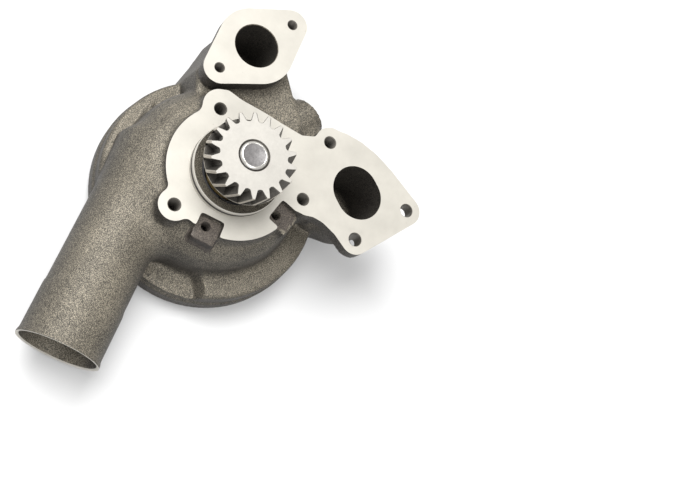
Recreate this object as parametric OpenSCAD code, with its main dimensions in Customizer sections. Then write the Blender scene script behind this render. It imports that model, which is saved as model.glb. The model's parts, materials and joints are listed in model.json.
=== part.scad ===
// Gear-driven coolant pump for a diesel engine.
// The shaft axis is Z, with the drive gear at the +Z end. Z = 0 is the machined
// face of the mounting flange. The hose pipe points along +X.

/* [Flanges] */
// Thickness of the mounting flange and of the upper flange
flange_t = 12; // [9:0.5:14]
// Radius of the round seat around the shaft
seat_r = 50.5; // [49:0.5:52]
// Corner radius of the flange lobes
lobe_r = 11.7; // [11:0.1:12.5]
// Radius of the tapped holes in the mounting flange
tapped_r = 4.25; // [3.4:0.05:4.5]
// Depth of the tapped holes
tapped_depth = 22; // [14:1:24]
// Radius of the two through holes beside the oval port
through_r = 5; // [4.2:0.1:5.5]
// Radius of the round port in the upper flange
round_port_r = 16.8; // [14:0.1:18]
// Radius of the upper flange plate around its port
upper_plate_r = 30; // [28:0.5:32]
// Distance between the two bolt holes of the upper flange
upper_spacing = 72.4; // [70:0.2:75]

/* [Spigot] */
// Outer radius of the centring spigot
spigot_r = 33.7; // [33.2:0.1:34.5]
// Height of the spigot above the mounting flange
spigot_h = 9; // [7:0.5:10]
// Radius of the spigot's open mouth
mouth_r = 32.3; // [31.8:0.1:32.6]

/* [Volute] */
// Distance from the mounting flange to the rear face
depth = 80; // [78:0.5:84]
// Outer radius of the volute ring
ring_r = 87; // [85:0.5:90]
// Outer radius of the machined rear face
rear_face_r = 82; // [80:0.5:84]
// Radius of the raised scroll on the front of the ring, around its own centre
scroll_r = 69; // [67:0.5:71]
// Radius of the recess for the rear cover
recess_r = 67.5; // [66:0.5:69]
// Radius of the impeller chamber
chamber_r = 61; // [58:0.5:63]

/* [Hose pipe] */
// Outer radius of the hose pipe
pipe_r = 30; // [29:0.25:31]
// Radius of the bead at the end of the pipe
bead_r = 31.3; // [31:0.1:32]
// Radius of the water way in the pipe
pipe_bore_r = 26; // [24:0.25:27]
// Distance from the shaft axis to the end of the pipe
pipe_reach = 162; // [150:1:170]

/* [Drive gear] */
// Number of teeth
teeth = 18; // [16:1:20]
// Tip radius of the teeth
tip_r = 31.5; // [30.5:0.1:32]
// Root radius of the teeth
root_r = 24.8; // [24:0.1:25.5]
// Helix angle of the teeth
helix = 18; // [0:1:22]
// Radius of the shaft's gear seat
gear_seat_r = 10.3; // [9.5:0.1:11]

/* [Impeller] */
// Outer radius of the impeller
impeller_r = 52; // [48:1:54]
// Number of vanes
vanes = 6; // [5:1:8]

/* [Bearings] */
// Number of balls in each bearing
balls = 9; // [7:1:9]
// Radius of a ball
ball_r = 3.97; // [3.8:0.01:4]
// Running clearance between moving parts
play = 0.05; // [0.03:0.01:0.08]

/* [Hidden] */
$fn = 96;
eps = 0.01;

// Hole centres on the mounting flange
tapped_holes = [[-38, -29], [44, -28.5], [-60, 56], [-8, 54.3]];
through_holes = [[-43, 133], [-0.5, 103.4]];
// Oval port: two circles of this radius, joined along port_axis degrees
oval_port = [-35, 91];
oval_r = 18.6;
oval_half_gap = 2.6;
oval_axis = 54;
// Upper flange
upper_port = [-98.5, -25.5];
upper_axis = 151.3;
upper_dir = [cos(upper_axis), sin(upper_axis)];
upper_holes = [upper_port + upper_dir * upper_spacing / 2,
               upper_port - upper_dir * upper_spacing / 2];
upper_lobe_r = 12.3;
upper_tapped_r = 3.4;
upper_tapped_depth = 16;
// Two recessed square pads on the edge of the round seat: centre, turn and hole centre
pad_size = 18;
pad_depth = 5;
pads = [[[48, 0.5], 2, [45.4, -1.2]], [[11.5, 47.5], -14, [11.5, 41.8]]];
pad_hole_r = 3.4;
// Side of the flange web that faces away from the hose pipe, then the side towards it
web_far_side = [[-53, -29.5], [-53, 34], [-58, 44], [-71, 52.5], [-73.8, 66], [-74, 79],
                [-71.5, 94], [-66, 110], [-53.5, 138]];
web_near_side = [[11, 100], [4, 87], [0.5, 75], [0.3, 67], [2.6, 60], [2.6, 52], [0.7, 39], [0, 0]];

// Water ways and casting
ring_offset = [0, -2];
ring_front = -46;
scroll_offset = [-1, -6];
// Radii and heights down the front of the scroll
scroll_slope = [[0, -6], [46, -6], [54, -9.5], [62, -17], [67, -26], [scroll_r, -36]];
chamber_front = -50;
recess_front = -72;
pipe_y = -50;
pipe_z = -44;
root_end = 100;
duct_ring_r = 92;
duct_r = 20;
duct_wall = 6;
duct_z = -46;
duct_from = 108;
duct_to = 196;
neck_low = -61;
boss_r = 16.5;
boss_angle = 156;
boss_reach = 106;
boss_z = -50;
tab_low = [-95.5, -31];
tab_high = [-76, -1];

// Shaft and its stack, from the gear to the impeller
shaft_top = 42;
gear_top = 41;
gear_back = 24;
tooth_phase = 3.3;
gear_disc_t = 1.6;
journal_r = 12.5;
tail_r = 10;
tail_top = -44;
shaft_bottom = -72.2;
bearing_r = 26;
bearing_w = 15;
pitch_r = 19.5;
front_bearing_z = -7.5;
rear_bearing_z = -28.5;
race_r = ball_r + play;
seal_r = 18;
seal_low = -43;
cup_r = 16;
hub_r = 17;
impeller_top = -58;
shroud_t = 2.5;
vane_low = -71.5;
vane_t = 3;
cover_t = 2.5;
cover_floor = -76;

// A point at radius r and angle a
function polar(r, a) = [r * cos(a), r * sin(a)];

// A disc between two heights
module disc(r, low, high) {
    translate([0, 0, low]) cylinder(r = r, h = high - low);
}

// A ring between two radii and two heights
module ring(outer, inner, low, high) {
    difference() {
        disc(outer, low, high);
        disc(inner, low - 1, high + 1);
    }
}

// Points along an arc around c
function arc(c, r, from, to, steps = 24) =
    [for (i = [0 : steps]) c + polar(r, from + (to - from) * i / steps)];

// Outline of a circle at a and a circle at b, joined by the lines that touch both
function link_points(a, ra, b, rb) =
    let(turn = atan2(b[1] - a[1], b[0] - a[0]), lean = acos((ra - rb) / norm(b - a)))
        concat(arc(a, ra, turn + lean, turn + 360 - lean), arc(b, rb, turn - lean, turn + lean));

module link_2d(a, ra, b, rb) {
    polygon(link_points(a, ra, b, rb));
}

module main_flange_2d() {
    e = through_holes[0];
    f = through_holes[1];
    difference() {
        union() {
            circle(seat_r);
            translate([-39.5, -29.5]) circle(lobe_r + 1.8);
            for (p = [tapped_holes[1], tapped_holes[2]]) translate(p) circle(lobe_r);
            link_2d(e, lobe_r, f, lobe_r);
            polygon(concat(web_far_side, [e, f], web_near_side));
        }
        for (pad = pads) pad_2d(pad);
    }
}

// The square notch of a recessed pad
module pad_2d(pad) {
    translate(pad[0]) rotate(pad[1]) square(pad_size, center = true);
}

module upper_flange_2d() {
    for (p = upper_holes) link_2d(upper_port, upper_plate_r, p, upper_lobe_r);
}

module oval_2d(grow = 0) {
    reach = polar(oval_half_gap, oval_axis);
    link_2d(oval_port + reach, oval_r + grow, oval_port - reach, oval_r + grow);
}

// Water way or wall of the curved duct that joins the oval port and the round port
module duct(r) {
    translate([0, 0, duct_z])
        rotate([0, 0, duct_from])
            rotate_extrude(angle = duct_to - duct_from)
                translate([duct_ring_r, 0]) circle(r);
}

module along_pipe(x) {
    translate([x, pipe_y, pipe_z]) rotate([0, 90, 0]) children();
}

module body_walls() {
    translate([0, 0, -flange_t]) linear_extrude(flange_t) main_flange_2d();
    translate([0, 0, -flange_t]) linear_extrude(flange_t) upper_flange_2d();
    // Bosses behind the tapped holes
    for (p = tapped_holes)
        translate([p[0], p[1], 0]) disc(lobe_r - 1.7, -tapped_depth - 5, -flange_t + 1);
    for (p = upper_holes)
        translate([p[0], p[1], 0]) disc(upper_lobe_r - 2.3, -upper_tapped_depth - 4, -flange_t + 1);
    // Floors of the recessed pads
    for (pad = pads)
        translate([0, 0, -flange_t - 8]) linear_extrude(flange_t + 8 - pad_depth) pad_2d(pad);
    // Scroll and volute ring
    translate([scroll_offset[0], scroll_offset[1], 0])
        rotate_extrude()
            polygon(concat(scroll_slope, [[scroll_r, ring_front - 1], [0, ring_front - 1]]));
    translate([ring_offset[0], ring_offset[1], 0]) {
        disc(ring_r, -depth + 8, ring_front);
        translate([0, 0, -depth + 1])
            cylinder(r1 = ring_r - 3, r2 = ring_r, h = 7);
    }
    disc(rear_face_r, -depth, -depth + 10);
    // Spigot
    disc(spigot_r, -1, spigot_h);
    // Hose pipe with its widening root and its bead
    along_pipe(root_end - 1) cylinder(r = pipe_r, h = pipe_reach - root_end);
    along_pipe(0) cylinder(r1 = pipe_r + 5.5, r2 = pipe_r, h = root_end);
    along_pipe(pipe_reach)
        rotate_extrude()
            polygon([[0, 0], [bead_r - 1, 0], [bead_r, -1], [bead_r, -3], [pipe_r, -5], [0, -5]]);
    // Duct and its two necks
    duct(duct_r + duct_wall);
    translate([0, 0, neck_low - duct_wall])
        linear_extrude(-flange_t - neck_low + duct_wall + 1) oval_2d(6);
    translate([upper_port[0], upper_port[1], 0])
        disc(upper_plate_r - 4, neck_low - duct_wall, -flange_t + 1);
    // Boss and machined tab
    rotate([0, 0, boss_angle]) translate([60, 0, boss_z])
        rotate([0, 90, 0]) cylinder(r = boss_r, h = boss_reach - 60);
    translate([tab_low[0], tab_low[1], -depth])
        cube([tab_high[0] - tab_low[0], tab_high[1] - tab_low[1], 24]);
}

module body_hollows() {
    // Bowl in the spigot, bearing bore, circlip groove and seal bores
    translate([0, 0, 2])
        cylinder(r1 = bearing_r + 1, r2 = mouth_r, h = spigot_h - 2 - 0.6);
    disc(mouth_r, spigot_h - 0.6 - eps, spigot_h + 1);
    disc(bearing_r, rear_bearing_z - bearing_w / 2, 2 + eps);
    disc(bearing_r + 1.4, 0, 1.5);
    disc(seal_r, seal_low - 1, rear_bearing_z);
    disc(cup_r, chamber_front - 1, seal_low);
    // Groove for the O-ring
    ring(spigot_r + 1, spigot_r - 2, 2.8, 6);
    // Impeller chamber and recess of the rear cover
    disc(chamber_r, recess_front - 1, chamber_front);
    disc(recess_r, -depth - 1, recess_front);
    // Hose pipe
    along_pipe(38) cylinder(r = pipe_bore_r, h = pipe_reach);
    // Duct, oval port and round port
    duct(duct_r);
    translate([0, 0, neck_low]) linear_extrude(-neck_low + 1) oval_2d();
    translate([upper_port[0], upper_port[1], 0]) disc(round_port_r, neck_low, 1);
    // Throat between the chamber and the duct
    rotate([0, 0, 128]) translate([50, 0, -60])
        rotate([0, 90, 0]) cylinder(r = 10, h = 36);
    // Bolt holes
    for (p = tapped_holes) translate([p[0], p[1], 0]) disc(tapped_r, -tapped_depth, 1);
    for (p = through_holes) translate([p[0], p[1], 0]) disc(through_r, -flange_t - 20, 1);
    for (p = upper_holes) translate([p[0], p[1], 0]) disc(upper_tapped_r, -upper_tapped_depth, 1);
    for (pad = pads)
        translate([pad[2][0], pad[2][1], 0]) disc(pad_hole_r, -pad_depth - 14, 1);
    // Four unmachined breaks in the rear face
    for (a = [45 : 90 : 315])
        rotate([0, 0, a]) translate([recess_r - 6, -7.5, -depth - 1]) cube([24, 15, 2.2]);
}

module pump_body() {
    color([0.47, 0.45, 0.41])
        difference() {
            body_walls();
            body_hollows();
        }
}

// Dished plug pressed into the rear recess, with a round dimple in its middle
module rear_cover() {
    rim = recess_r - 1.5;
    color([0.33, 0.34, 0.34])
        rotate_extrude()
            polygon([[0, cover_floor + cover_t + 1], [14, cover_floor + cover_t + 1],
                     [16, cover_floor + cover_t], [58, cover_floor + cover_t], [62, recess_front],
                     [rim, recess_front], [rim, recess_front - 6.5], [rim - 2.5, recess_front - 6.5],
                     [rim - 2.5, recess_front - 3], [61, recess_front - 2.5],
                     [58, cover_floor], [16, cover_floor], [14, cover_floor + 1],
                     [0, cover_floor + 1]]);
}

// Bonded ring between the cover's rim and the recess
module cover_sealing_ring() {
    color([0.2, 0.2, 0.2]) ring(recess_r, recess_r - 1.5, recess_front - 6, recess_front);
}

module spigot_o_ring() {
    color([0.12, 0.11, 0.1])
        translate([0, 0, 4.4])
            rotate_extrude() translate([spigot_r - 1.02, 0]) circle(0.98, $fn = 32);
}

module pump_shaft() {
    color([0.62, 0.63, 0.66])
        rotate_extrude()
            polygon([[0, shaft_bottom], [tail_r - 1, shaft_bottom], [tail_r, shaft_bottom + 1],
                     [tail_r, tail_top], [journal_r, tail_top], [journal_r, gear_back],
                     [gear_seat_r, gear_back], [gear_seat_r, shaft_top - 1.2],
                     [gear_seat_r - 1.2, shaft_top], [0, shaft_top]]);
}

// Half thickness of a tooth, in degrees, at a radius between root and tip
function tooth_half(r) = let(k = (r - root_r) / (tip_r - root_r)) (6.9 - 4.8 * k) * 18 / teeth;

// Radii of the points along a tooth flank
flank = [for (k = [0, 0.35, 0.7, 1]) root_r + k * (tip_r - root_r)];

module gear_2d() {
    polygon([for (i = [0 : teeth - 1])
                 for (p = concat([for (r = flank) [r, -tooth_half(r)]],
                                 [for (j = [3 : -1 : 0]) [flank[j], tooth_half(flank[j])]]))
                     polar(p[0], i * 360 / teeth + tooth_phase + p[1])]);
}

module drive_gear() {
    toothed_h = gear_top - gear_back - gear_disc_t;
    twist_deg = toothed_h * tan(helix) / (tip_r - 2.8) * 180 / PI;
    color([0.8, 0.79, 0.75])
        difference() {
            union() {
                disc(tip_r - 0.4, gear_back, gear_back + gear_disc_t);
                translate([0, 0, gear_top])
                    mirror([0, 0, 1])
                        linear_extrude(toothed_h + eps, twist = twist_deg, slices = 5) gear_2d();
            }
            disc(gear_seat_r, gear_back - 1, gear_top + 1);
            translate([0, 0, gear_top - 1.2]) cylinder(r1 = gear_seat_r, r2 = gear_seat_r + 1.3, h = 1.3);
        }
}

// One backward-curved vane, as an arc of constant thickness
module vane() {
    arc_r = 34;
    intersection() {
        translate([arc_r + 6, -14, 0])
            ring(arc_r, arc_r - vane_t, vane_low, impeller_top - shroud_t + 1);
        translate([0, -60, vane_low - 1]) cube([60, 60, 40]);
        ring(impeller_r - 0.6, hub_r - 2, vane_low - 1, impeller_top - shroud_t + 2);
    }
}

module impeller() {
    color([0.4, 0.39, 0.37])
        difference() {
            union() {
                disc(hub_r, vane_low, impeller_top);
                disc(impeller_r, impeller_top - shroud_t, impeller_top);
                for (i = [0 : vanes - 1]) rotate([0, 0, i * 360 / vanes]) vane();
            }
            disc(tail_r, vane_low - 1, impeller_top + 1);
        }
}

// Half section of a bearing ring whose race faces the balls
module race(inner, outer) {
    rotate_extrude()
        difference() {
            translate([inner, -bearing_w / 2]) square([outer - inner, bearing_w]);
            translate([pitch_r, 0]) circle(race_r);
        }
}

module bearing_outer(z) {
    color([0.72, 0.73, 0.75]) translate([0, 0, z]) race(pitch_r + 2.7, bearing_r);
}

module bearing_inner(z) {
    color([0.72, 0.73, 0.75]) translate([0, 0, z]) race(journal_r, pitch_r - 2.7);
}

module bearing_balls(z) {
    color([0.82, 0.83, 0.85])
        for (i = [0 : balls - 1])
            rotate([0, 0, i * 360 / balls]) translate([pitch_r, 0, z]) sphere(ball_r, $fn = 48);
}

module bearing_cage(z) {
    color([0.7, 0.55, 0.25])
        difference() {
            translate([0, 0, z]) ring(pitch_r + 1.2, pitch_r - 1.2, -5, 5);
            for (i = [0 : balls - 1])
                rotate([0, 0, i * 360 / balls])
                    translate([pitch_r, 0, z]) sphere(ball_r + play, $fn = 48);
        }
}

module front_bearing_outer_ring() { bearing_outer(front_bearing_z); }
module front_bearing_inner_ring() { bearing_inner(front_bearing_z); }
module front_bearing_balls() { bearing_balls(front_bearing_z); }
module front_bearing_cage() { bearing_cage(front_bearing_z); }
module rear_bearing_outer_ring() { bearing_outer(rear_bearing_z); }
module rear_bearing_inner_ring() { bearing_inner(rear_bearing_z); }
module rear_bearing_balls() { bearing_balls(rear_bearing_z); }
module rear_bearing_cage() { bearing_cage(rear_bearing_z); }

// Spring ring in the groove above the front bearing, with its open ends
module bearing_circlip() {
    color([0.35, 0.35, 0.36])
        difference() {
            ring(bearing_r + 1.3, bearing_r - 2.5, 0.02, 1.48);
            translate([bearing_r - 5, -3, -1]) cube([10, 6, 4]);
        }
}

// Sleeve that keeps the two inner rings apart
module bearing_spacer() {
    low = rear_bearing_z + bearing_w / 2;
    high = front_bearing_z - bearing_w / 2;
    color([0.6, 0.61, 0.63]) ring(journal_r + 3, journal_r, low, high);
}

module oil_seal_case() {
    color([0.5, 0.5, 0.5])
        rotate_extrude()
            polygon([[seal_r - 1, seal_low], [seal_r, seal_low], [seal_r, seal_low + 6],
                     [seal_r - 4, seal_low + 6], [seal_r - 4, seal_low + 5],
                     [seal_r - 1, seal_low + 5]]);
}

module oil_seal_lip() {
    lip = journal_r + play;
    color([0.15, 0.12, 0.1])
        rotate_extrude()
            polygon([[seal_r - 1, seal_low + 5], [seal_r - 3.6, seal_low + 5],
                     [lip + 0.6, seal_low + 3], [lip, seal_low + 2], [lip + 0.6, seal_low + 1],
                     [lip + 1.4, seal_low + 1.2], [lip + 1.4, seal_low + 2.4],
                     [seal_r - 3, seal_low + 4], [seal_r - 1, seal_low + 4]]);
}

// Round spring that presses the lip on the shaft
module oil_seal_garter_spring() {
    color([0.6, 0.6, 0.62])
        translate([0, 0, seal_low + 1.75])
            rotate_extrude() translate([journal_r + play + 1.95, 0]) circle(0.5, $fn = 32);
}

// Rubber disc that throws leaked water off the shaft
module water_slinger() {
    color([0.15, 0.15, 0.15]) ring(14, tail_r, tail_top - 1.8, tail_top);
}

module coolant_seal_cup() {
    low = chamber_front - 1.2;
    color([0.68, 0.62, 0.45])
        rotate_extrude()
            polygon([[cup_r - 1, low], [cup_r + 2, low], [cup_r + 2, chamber_front],
                     [cup_r, chamber_front], [cup_r, chamber_front + 3.4],
                     [tail_r + 1.2, chamber_front + 3.4], [tail_r + 1.2, chamber_front + 2.6],
                     [cup_r - 1, chamber_front + 2.6]]);
}

module coolant_seal_gaiter() {
    color([0.12, 0.12, 0.12])
        ring(tail_r + 2.2, tail_r + 1.2, chamber_front - 3, chamber_front + 2.6);
}

// Closed turns of the seal's spring, one ring for each turn
module coolant_seal_spring() {
    turns = 3;
    color([0.7, 0.7, 0.72])
        for (i = [0 : turns - 1])
            translate([0, 0, chamber_front - 1.9 + i * 1.4])
                rotate_extrude() translate([tail_r + 3.2, 0]) circle(0.6, $fn = 32);
}

module coolant_seal_carbon() {
    color([0.2, 0.2, 0.21])
        ring(tail_r + 4, tail_r + 1.2, impeller_top + 2 + play, chamber_front - 3);
}

module coolant_seal_seat() {
    color([0.9, 0.89, 0.85]) ring(hub_r - 1, tail_r, impeller_top, impeller_top + 2);
}

pump_body();
rear_cover();
cover_sealing_ring();
spigot_o_ring();
pump_shaft();
drive_gear();
impeller();
front_bearing_outer_ring();
front_bearing_inner_ring();
front_bearing_balls();
front_bearing_cage();
rear_bearing_outer_ring();
rear_bearing_inner_ring();
rear_bearing_balls();
rear_bearing_cage();
bearing_circlip();
bearing_spacer();
oil_seal_case();
oil_seal_lip();
oil_seal_garter_spring();
water_slinger();
coolant_seal_cup();
coolant_seal_gaiter();
coolant_seal_spring();
coolant_seal_carbon();
coolant_seal_seat();
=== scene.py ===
"""Looks of a gear-driven coolant pump. The casting is one blended field, meshed and then machined."""
import json
import math

import bmesh
import bpy
import numpy as np
from mathutils import Matrix, Vector


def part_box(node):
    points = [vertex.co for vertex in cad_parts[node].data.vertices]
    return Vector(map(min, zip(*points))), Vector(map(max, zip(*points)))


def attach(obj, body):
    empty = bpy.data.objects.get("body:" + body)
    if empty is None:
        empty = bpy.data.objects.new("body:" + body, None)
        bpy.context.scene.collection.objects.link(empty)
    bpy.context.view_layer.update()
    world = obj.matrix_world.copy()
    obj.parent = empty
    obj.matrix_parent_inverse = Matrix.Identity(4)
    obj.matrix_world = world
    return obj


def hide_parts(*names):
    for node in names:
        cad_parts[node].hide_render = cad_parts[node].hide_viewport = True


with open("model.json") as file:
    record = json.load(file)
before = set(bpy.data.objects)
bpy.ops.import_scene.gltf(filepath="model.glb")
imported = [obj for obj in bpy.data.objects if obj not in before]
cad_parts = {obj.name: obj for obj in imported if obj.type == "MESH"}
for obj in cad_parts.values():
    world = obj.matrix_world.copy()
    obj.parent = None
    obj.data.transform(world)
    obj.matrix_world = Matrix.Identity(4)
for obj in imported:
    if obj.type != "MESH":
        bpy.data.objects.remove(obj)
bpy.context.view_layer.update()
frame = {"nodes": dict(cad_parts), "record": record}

MM = 0.001

# ---------------------------------------------------------------- sizes in millimetres, as in the frame
# Heights run along z, with the milled front faces at 0 and the rear ring's face at -DEPTH.
MILL_STOCK = 2.5

# Flanges: the main one's seat round the spigot and its lobes, the upper one's plate and lobes
FLANGE_T = 12.0
SEAT_R = 50.5
LOBE_R = 11.7
PIPE_SIDE_LOBE, PIPE_SIDE_LOBE_R = (-39.5, -29.5), LOBE_R + 1.8
UPPER_PORT, UPPER_PORT_R, UPPER_PLATE_R = (-98.5, -25.5), 16.8, 30.0
UPPER_AXIS, UPPER_SPACING, UPPER_LOBE_R = 151.3, 72.4, 12.3
OVAL_PORT, OVAL_R, OVAL_HALF_GAP, OVAL_AXIS = (-35.0, 91.0), 18.6, 2.6, 54.0

# The two long sides of the web between the seat and the oval port's flange
WEB_FAR = [(-53, -29.5), (-53, 34), (-58, 44), (-71, 52.5), (-73.8, 66), (-74, 79), (-71.5, 94), (-66, 110),
           (-53.5, 138)]
WEB_NEAR = [(11, 100), (4, 87), (0.5, 75), (0.3, 67), (2.6, 60), (2.6, 52), (0.7, 39), (0, 0)]

# Holes, each as its radius and the height of its floor, and the recessed pads as (centre, turn, hole)
TAPPED_HOLES = [(-38.0, -29.0), (44.0, -28.5), (-60.0, 56.0), (-8.0, 54.3)]
THROUGH_HOLES = [(-43.0, 133.0), (-0.5, 103.4)]
TAPPED_R, TAPPED_FLOOR, TAPPED_PITCH = 4.25, -22, 1.5
THROUGH_R, THROUGH_FLOOR = 5.0, -45
SMALL_R, UPPER_FLOOR, PAD_HOLE_FLOOR, SMALL_PITCH = 3.4, -16, -19, 1.25
PAD_SIZE, PAD_DEPTH, PAD_CORNER = 18.0, 5.0, 1.5
PADS = [((48.0, 0.5), 2.0, (45.4, -1.2)), ((11.5, 47.5), -14.0, (11.5, 41.8))]

# Spigot, volute ring and the machined rear
SPIGOT_R = 33.7
SPIGOT_H = 9.0
DEPTH = 80.0
RING_BAND_R, RING_R, RING_Y = 85.3, 87.0, -2.0
REAR_FACE_R = 82.0
RECESS_R = 67.5
RECESS_FRONT = -72.0
CHAMBER_R = 61.0
CHAMBER_FRONT = -50.0
TAB_AT, TAB_HALF = (-85.5, -16.0), (10.5, 15.5)

# Hose pipe, along x, with a slightly thicker end part and a bead
PIPE_Y, PIPE_Z = -50.0, -44.0
PIPE_R, PIPE_BEAD_R, PIPE_BORE_R, PIPE_END = 29.3, 30.8, 26.0, 162.0
PIPE_STEP_X, PIPE_STEP = 121.0, 0.5

# Duct behind the two ports, an arc round the shaft axis, and the boss on its outer side
DUCT_R, DUCT_Z, DUCT_CORNER = 80.0, -53.0, 9.0
DUCT_FROM, DUCT_TO, DUCT_CORE_TO = 112, 196, 194
DUCT_HALF, DUCT_CORE_HALF = (23.0, 18.0), (17.0, 12.0)
BLOCK_BACK = -66.0
BOSS_R, BOSS_ANGLE, BOSS_REACH, BOSS_Z = 16.5, 156.0, 106.0, -50.0

# Half section of the dome on the ring's front, inside its skin, around its own centre
DOME_AT, DOME_SKIN = (-1.0, -6.0), 3.0
DOME_PROFILE = [(0, -7), (44, -7), (51.5, -10.5), (58, -16.5), (63, -24), (65.7, -33), (66, -40), (66, -57),
                (0, -57)]

# Plan of the casting that joins the two flanges, and of the pocket beside the pipe, whose walls lean out
BRIDGE = [(-108, 2), (-99, 8.5), (-85, 20), (-72, 33), (-50, 40), (-30, 0), (-40, -45), (-64, -55), (-84, -51),
          (-106, -48), (-121, -30), (-120, -10)]
POCKET = [(98, -32), (70, -32), (66, -8), (62.0, 10), (77, 21), (98, 29)]
POCKET_FLOOR, POCKET_DRAFT = -57.0, 0.55

# Drive gear and shaft
GEAR_TOP, GEAR_BACK, GEAR_DISC_T, GEAR_CHAMFER = 41.0, 24.0, 1.6, 0.4
TEETH, TIP_R, ROOT_R, HELIX, TOOTH_PHASE = 18, 31.5, 24.8, 18.0, 3.3
GEAR_SEAT_R, SHAFT_TOP, SHAFT_BOTTOM, JOURNAL_R, TAIL_R, TAIL_TOP = 10.3, 42.0, -72.2, 12.5, 10.0, -44.0

# Grid that the casting's field is sampled on
GRID_LOW, GRID_HIGH = (-145.0, -91.5, -84.0), (167.5, 148.0, 13.0)
GRID_PITCH, QUICK_PITCH = 1.7, 2.4

# Material slots of the casting
CAST, MILLED, BORED, PAD = range(4)

# ---------------------------------------------------------------- studio, in metres
FLOOR_HALF, FLOOR_TONE, WORLD_STRENGTH = 6.0, 0.6, 0.6
LIGHTS = {  # place, diameter and power
    "key": ((-0.4, -0.62, 1.35), 1.4, 46),
    "fill": ((0.75, 0.3, 1.1), 1.0, 10),
}
CAMERA_AT, CAMERA_LOOK, CAMERA_ROLL = (0.30728, -0.12485, 0.6909), (-0.38, 0.29, -0.88), 63.21
CAMERA_LENS, CAMERA_SENSOR = 54.48, 36.0


def polar(r, degrees):
    a = math.radians(degrees)
    return r * math.cos(a), r * math.sin(a)


def upper_holes():
    x, y = polar(UPPER_SPACING / 2, UPPER_AXIS)
    return [(UPPER_PORT[0] + x, UPPER_PORT[1] + y), (UPPER_PORT[0] - x, UPPER_PORT[1] - y)]


# ---------------------------------------------------------------- signed distance fields
def smooth_min(a, b, k):
    h = np.clip(0.5 + 0.5 * (b - a) / k, 0, 1)
    return b * (1 - h) + a * h - k * h * (1 - h)


def smooth_max(a, b, k):
    return -smooth_min(-a, -b, k)


def polygon_2d(x, y, points):
    """Signed distance to a closed outline, negative inside."""
    best = np.full(x.shape, 1e9, np.float32)
    sign = np.ones(x.shape, np.float32)
    for (ax, ay), (bx, by) in zip(points, points[1:] + points[:1]):
        ex, ey = bx - ax, by - ay
        wx, wy = x - ax, y - ay
        t = np.clip((wx * ex + wy * ey) / (ex * ex + ey * ey), 0, 1)
        best = np.minimum(best, (wx - ex * t) ** 2 + (wy - ey * t) ** 2)
        above, below = (y >= ay) & (y < by), (y < ay) & (y >= by)
        cross = ex * wy - ey * wx
        sign = np.where((above & (cross > 0)) | (below & (cross < 0)), -sign, sign)
    return sign * np.sqrt(best)


def circle_2d(x, y, c, r):
    return np.hypot(x - c[0], y - c[1]) - r


def link_2d(x, y, a, ra, b, rb):
    """Two circles joined by the lines that touch both."""
    d = math.dist(a, b)
    ux, uy = (b[0] - a[0]) / d, (b[1] - a[1]) / d
    along = (x - a[0]) * ux + (y - a[1]) * uy
    side = np.abs((x - a[0]) * -uy + (y - a[1]) * ux)
    lean = (ra - rb) / d
    upright = math.sqrt(1 - lean * lean)
    t = along * upright - side * lean
    flank = along * lean + side * upright - ra
    near_a, near_b = np.hypot(along, side) - ra, np.hypot(along - d, side) - rb
    return np.where(t < 0, near_a, np.where(t > d * upright, near_b, flank)).astype(np.float32)


def slab(d, z, low, high, edge=0.0):
    """A flat outline's field between two heights, with its edges rounded."""
    dz = np.maximum(low - z, z - high) + edge
    dd = d + edge
    outside = np.hypot(np.maximum(dd, 0), np.maximum(dz, 0))
    return np.minimum(np.maximum(dd, dz), 0) + outside - edge


def pipe_tube(x, y, z, r, low, edge=0.0):
    """The hose pipe at radius r, from x = low to past its end."""
    return slab(np.hypot(y - PIPE_Y, z - PIPE_Z) - r, x, low, PIPE_END + 3.0, edge)


def main_outline(x, y):
    e, f = THROUGH_HOLES
    d = polygon_2d(x, y, WEB_FAR + [e, f] + WEB_NEAR)
    d = np.minimum(d, link_2d(x, y, e, LOBE_R, f, LOBE_R))
    d = smooth_min(d, circle_2d(x, y, TAPPED_HOLES[2], LOBE_R), 2.0)
    d = smooth_min(d, circle_2d(x, y, (0, 0), SEAT_R), 6.0)
    for c, r in ((PIPE_SIDE_LOBE, PIPE_SIDE_LOBE_R), (TAPPED_HOLES[1], LOBE_R)):
        d = smooth_min(d, circle_2d(x, y, c, r), 5.0)
    return d


def pad_outline(x, y, pad):
    (cx, cy), turn = pad[:2]
    c, s = math.cos(math.radians(turn)), math.sin(math.radians(turn))
    u, v = (x - cx) * c + (y - cy) * s, -(x - cx) * s + (y - cy) * c
    half = PAD_SIZE / 2
    qx, qy = np.abs(u) - half + PAD_CORNER, np.abs(v) - half + PAD_CORNER
    return np.hypot(np.maximum(qx, 0), np.maximum(qy, 0)) + np.minimum(np.maximum(qx, qy), 0) - PAD_CORNER


def upper_outline(x, y):
    a, b = upper_holes()
    d = link_2d(x, y, UPPER_PORT, UPPER_PLATE_R, a, UPPER_LOBE_R)
    return np.minimum(d, link_2d(x, y, UPPER_PORT, UPPER_PLATE_R, b, UPPER_LOBE_R))


def oval_outline(x, y, grow=0.0):
    rx, ry = polar(OVAL_HALF_GAP, OVAL_AXIS)
    a, b = (OVAL_PORT[0] + rx, OVAL_PORT[1] + ry), (OVAL_PORT[0] - rx, OVAL_PORT[1] - ry)
    return link_2d(x, y, a, OVAL_R + grow, b, OVAL_R + grow)


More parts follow.
